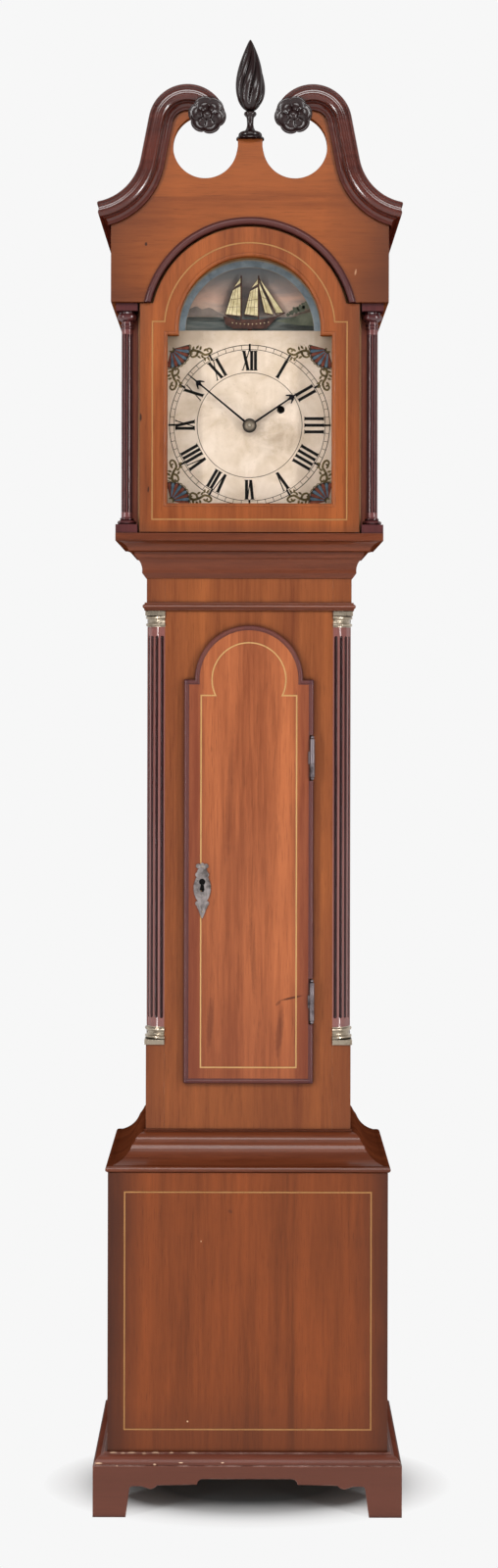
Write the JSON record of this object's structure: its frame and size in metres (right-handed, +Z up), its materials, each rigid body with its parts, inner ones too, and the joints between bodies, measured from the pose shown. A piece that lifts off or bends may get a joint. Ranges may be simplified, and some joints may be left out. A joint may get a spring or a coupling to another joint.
{
  "type": "grandmother clock",
  "caption": "Small longcase clock in mahogany with swan-neck hood, arched dial with rocking ship, arched trunk door, bracket plinth and weight-driven movement.",
  "frame": {"origin": "middle of the underside of the plinth's feet, on the floor", "axes": "+Z up along the case, +X to the viewer's right, the dial faces -Y"},
  "size_m": [0.349, 0.248, 1.6746],
  "materials": {
    "mahogany": "polished, orange brown",
    "dark_mahogany": "polished, dark red brown",
    "carcase_pine": "plain, unpolished",
    "light_stringing": "polished inlay",
    "old_brass": "dulled",
    "movement_brass": "satin",
    "steel": "satin, dark",
    "blued_steel": "blued",
    "glass": "clear",
    "dial_face": "silvered, stained",
    "painted_scene": "painted",
    "painted_ship": "painted",
    "iron": "cast, dull",
    "gut": "twisted gut"
  },
  "bodies": {
    "case": {"bracket_plinth": "dark_mahogany", "glue_blocks": "carcase_pine", "base_front": "mahogany", "base_stringing": "light_stringing", "base_sides": "mahogany", "base_floor": "carcase_pine", "waist_moulding": "dark_mahogany", "trunk_frame": "mahogany", "trunk_corner_blocks": "mahogany", "trunk_sides": "mahogany", "quarter_columns": "dark_mahogany", "column_brasses": "old_brass", "trunk_astragal": "dark_mahogany", "seat_moulding": "dark_mahogany", "backboard": "carcase_pine", "seatboard": "carcase_pine", "hinge_case_leaves": "steel", "front_plate": "movement_brass", "back_plate": "movement_brass", "plate_pillars": "movement_brass", "back_cock": "movement_brass", "dial_plate": "dial_face", "scenery_plate": "painted_scene", "gut_line": "gut"},
    "trunk_door": {"trunk_door": "mahogany", "trunk_door_stringing": "light_stringing", "escutcheon": "old_brass", "door_lock": "steel", "hinge_door_leaves": "steel"},
    "lock_bolt": {"lock_bolt": "steel"},
    "hood": {"hood_base_frame": "dark_mahogany", "hood_posts": "dark_mahogany", "hood_sides": "mahogany", "hood_roof": "carcase_pine", "dial_mask": "dark_mahogany", "tympanum": "mahogany", "swan_necks": "dark_mahogany", "rosettes": "dark_mahogany", "finial": "dark_mahogany", "hood_columns": "dark_mahogany"},
    "hood_door": {"hood_door": "mahogany", "hood_door_stringing": "light_stringing", "hood_door_glass": "glass", "hood_door_pivots": "movement_brass"},
    "centre": {"centre_arbor": "movement_brass", "minute_hand": "blued_steel"},
    "hour": {"hour_wheel": "movement_brass", "hour_hand": "blued_steel"},
    "minute_wheel": {"minute_wheel": "movement_brass"},
    "great_wheel": {"great_wheel": "movement_brass"},
    "barrel": {"barrel": "movement_brass"},
    "third_wheel": {"third_wheel": "movement_brass"},
    "escape_wheel": {"escape_wheel": "movement_brass"},
    "anchor": {"anchor": "steel", "ship": "painted_ship"},
    "pendulum": {"pendulum_rod": "steel"},
    "bob": {"pendulum_bob": "movement_brass"},
    "rating_nut": {"rating_nut": "movement_brass"},
    "weight": {"weight": "iron"},
    "pulley": {"weight_pulley": "movement_brass"}
  },
  "joints": [
    {"name": "hood_slide", "type": "slide", "parent": "case", "child": "hood", "axis": [0, -1, 0], "range_m": [0, 0.24]},
    {"name": "hood_door_hinge", "type": "hinge", "parent": "hood", "child": "hood_door", "pos_m": [0.122, -0.095, 1.1128], "axis": [0, 0, 1], "range_deg": [0, 105]},
    {"name": "trunk_door_hinge", "type": "hinge", "parent": "case", "child": "trunk_door", "pos_m": [0.073, -0.0708, 0.4814], "axis": [0, 0, 1], "range_deg": [0, 110]},
    {"name": "lock_bolt_slide", "type": "slide", "parent": "trunk_door", "child": "lock_bolt", "axis": [-1, 0, 0], "range_m": [0, 0.006]},
    {"name": "escape_spin", "type": "hinge", "parent": "case", "child": "escape_wheel", "pos_m": [0, -0.0255, 1.281], "axis": [0, 1, 0], "continuous": true},
    {"name": "third_spin", "type": "hinge", "parent": "case", "child": "third_wheel", "pos_m": [-0.00835, -0.0255, 1.26305], "axis": [0, 1, 0], "continuous": true},
    {"name": "centre_spin", "type": "hinge", "parent": "case", "child": "centre", "pos_m": [0, -0.0255, 1.238], "axis": [0, 1, 0], "continuous": true},
    {"name": "great_spin", "type": "hinge", "parent": "case", "child": "great_wheel", "pos_m": [0.03595, -0.0255, 1.25712], "axis": [0, 1, 0], "continuous": true},
    {"name": "minute_wheel_spin", "type": "hinge", "parent": "case", "child": "minute_wheel", "pos_m": [-0.01061, -0.0255, 1.22739], "axis": [0, 1, 0], "continuous": true},
    {"name": "hour_spin", "type": "hinge", "parent": "case", "child": "hour", "pos_m": [0, -0.0255, 1.238], "axis": [0, 1, 0], "continuous": true},
    {"name": "pendulum_swing", "type": "hinge", "parent": "case", "child": "pendulum", "pos_m": [0, 0.044, 1.305], "axis": [0, 1, 0], "range_deg": [-3, 3]},
    {"name": "anchor_rock", "type": "hinge", "parent": "case", "child": "anchor", "pos_m": [0, -0.0455, 1.305], "axis": [0, 1, 0], "range_deg": [-3, 3]},
    {"name": "bob_rise", "type": "slide", "parent": "pendulum", "child": "bob", "axis": [0, 0, 1], "range_m": [-0.005, 0.005]},
    {"name": "rating_nut_turn", "type": "hinge", "parent": "bob", "child": "rating_nut", "pos_m": [0, 0.044, 0.697], "axis": [0, 0, 1], "range_deg": [-1800, 1800]},
    {"name": "weight_drop", "type": "slide", "parent": "case", "child": "weight", "axis": [0, 0, -1], "range_m": [0, 0.75], "deforming": ["gut_line"]},
    {"name": "barrel_spin", "type": "hinge", "parent": "case", "child": "barrel", "pos_m": [0.03595, -0.0255, 1.25712], "axis": [0, -1, 0], "range_deg": [0, 5500]},
    {"name": "pulley_spin", "type": "hinge", "parent": "weight", "child": "pulley", "pos_m": [0.03695, -0.013, 1.112], "axis": [0, -1, 0], "range_deg": [0, 2600]}
  ],
  "couplings": [
    {"joint": "third_spin", "follows": "escape_spin", "ratio": -0.125},
    {"joint": "centre_spin", "follows": "escape_spin", "ratio": 0.0125},
    {"joint": "great_spin", "follows": "escape_spin", "ratio": -0.0010417},
    {"joint": "minute_wheel_spin", "follows": "escape_spin", "ratio": -0.0041667},
    {"joint": "hour_spin", "follows": "escape_spin", "ratio": 0.0010417},
    {"joint": "anchor_rock", "follows": "pendulum_swing", "ratio": 1},
    {"joint": "rating_nut_turn", "follows": "bob_rise", "rad_per_m": 6283.2},
    {"joint": "barrel_spin", "follows": "weight_drop", "rad_per_m": 126.98},
    {"joint": "pulley_spin", "follows": "weight_drop", "rad_per_m": 59.701}
  ]
}
